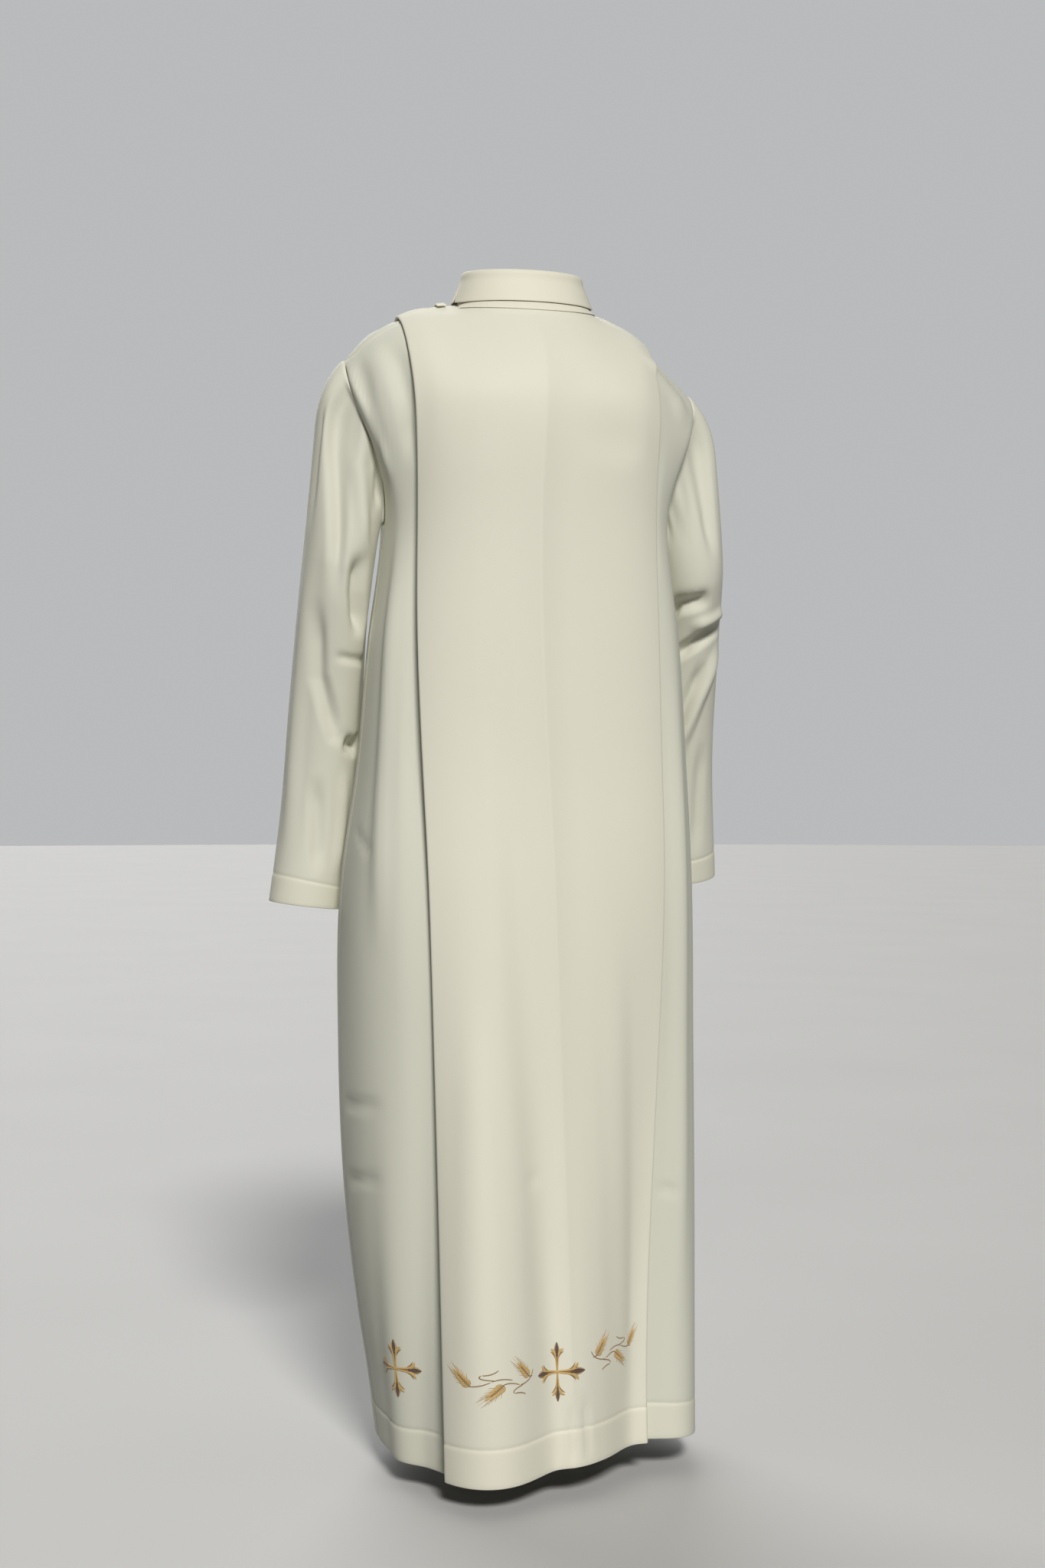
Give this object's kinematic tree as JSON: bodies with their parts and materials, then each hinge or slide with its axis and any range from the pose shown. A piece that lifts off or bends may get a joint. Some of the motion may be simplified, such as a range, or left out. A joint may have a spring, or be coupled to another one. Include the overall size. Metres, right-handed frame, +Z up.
{
  "type": "alb robe",
  "caption": "Long ivory alb robe in its worn, hollow form: wide centre panel between deep pleats, set-in long sleeves, turned-down collar and embroidered hem.",
  "frame": {"origin": "between the wearer's shoulders, at the height where the cloth rests on them", "axes": "+Z up from the hem to the collar, -Y to the wearer's front, +X to the wearer's left"},
  "size_m": [0.6408, 0.4326, 1.5217],
  "materials": {
    "back": "matt ivory twill",
    "front": "matt ivory twill",
    "sleeve_left": "matt ivory twill",
    "sleeve_right": "matt ivory twill",
    "collar": "matt ivory twill, interfaced",
    "shoulder_tab": "matt ivory twill"
  },
  "bodies": {
    "root": {"back": "back", "front": "front", "sleeve_left": "sleeve_left", "sleeve_right": "sleeve_right", "collar": "collar", "shoulder_tab": "shoulder_tab"}
  },
  "joints": []
}
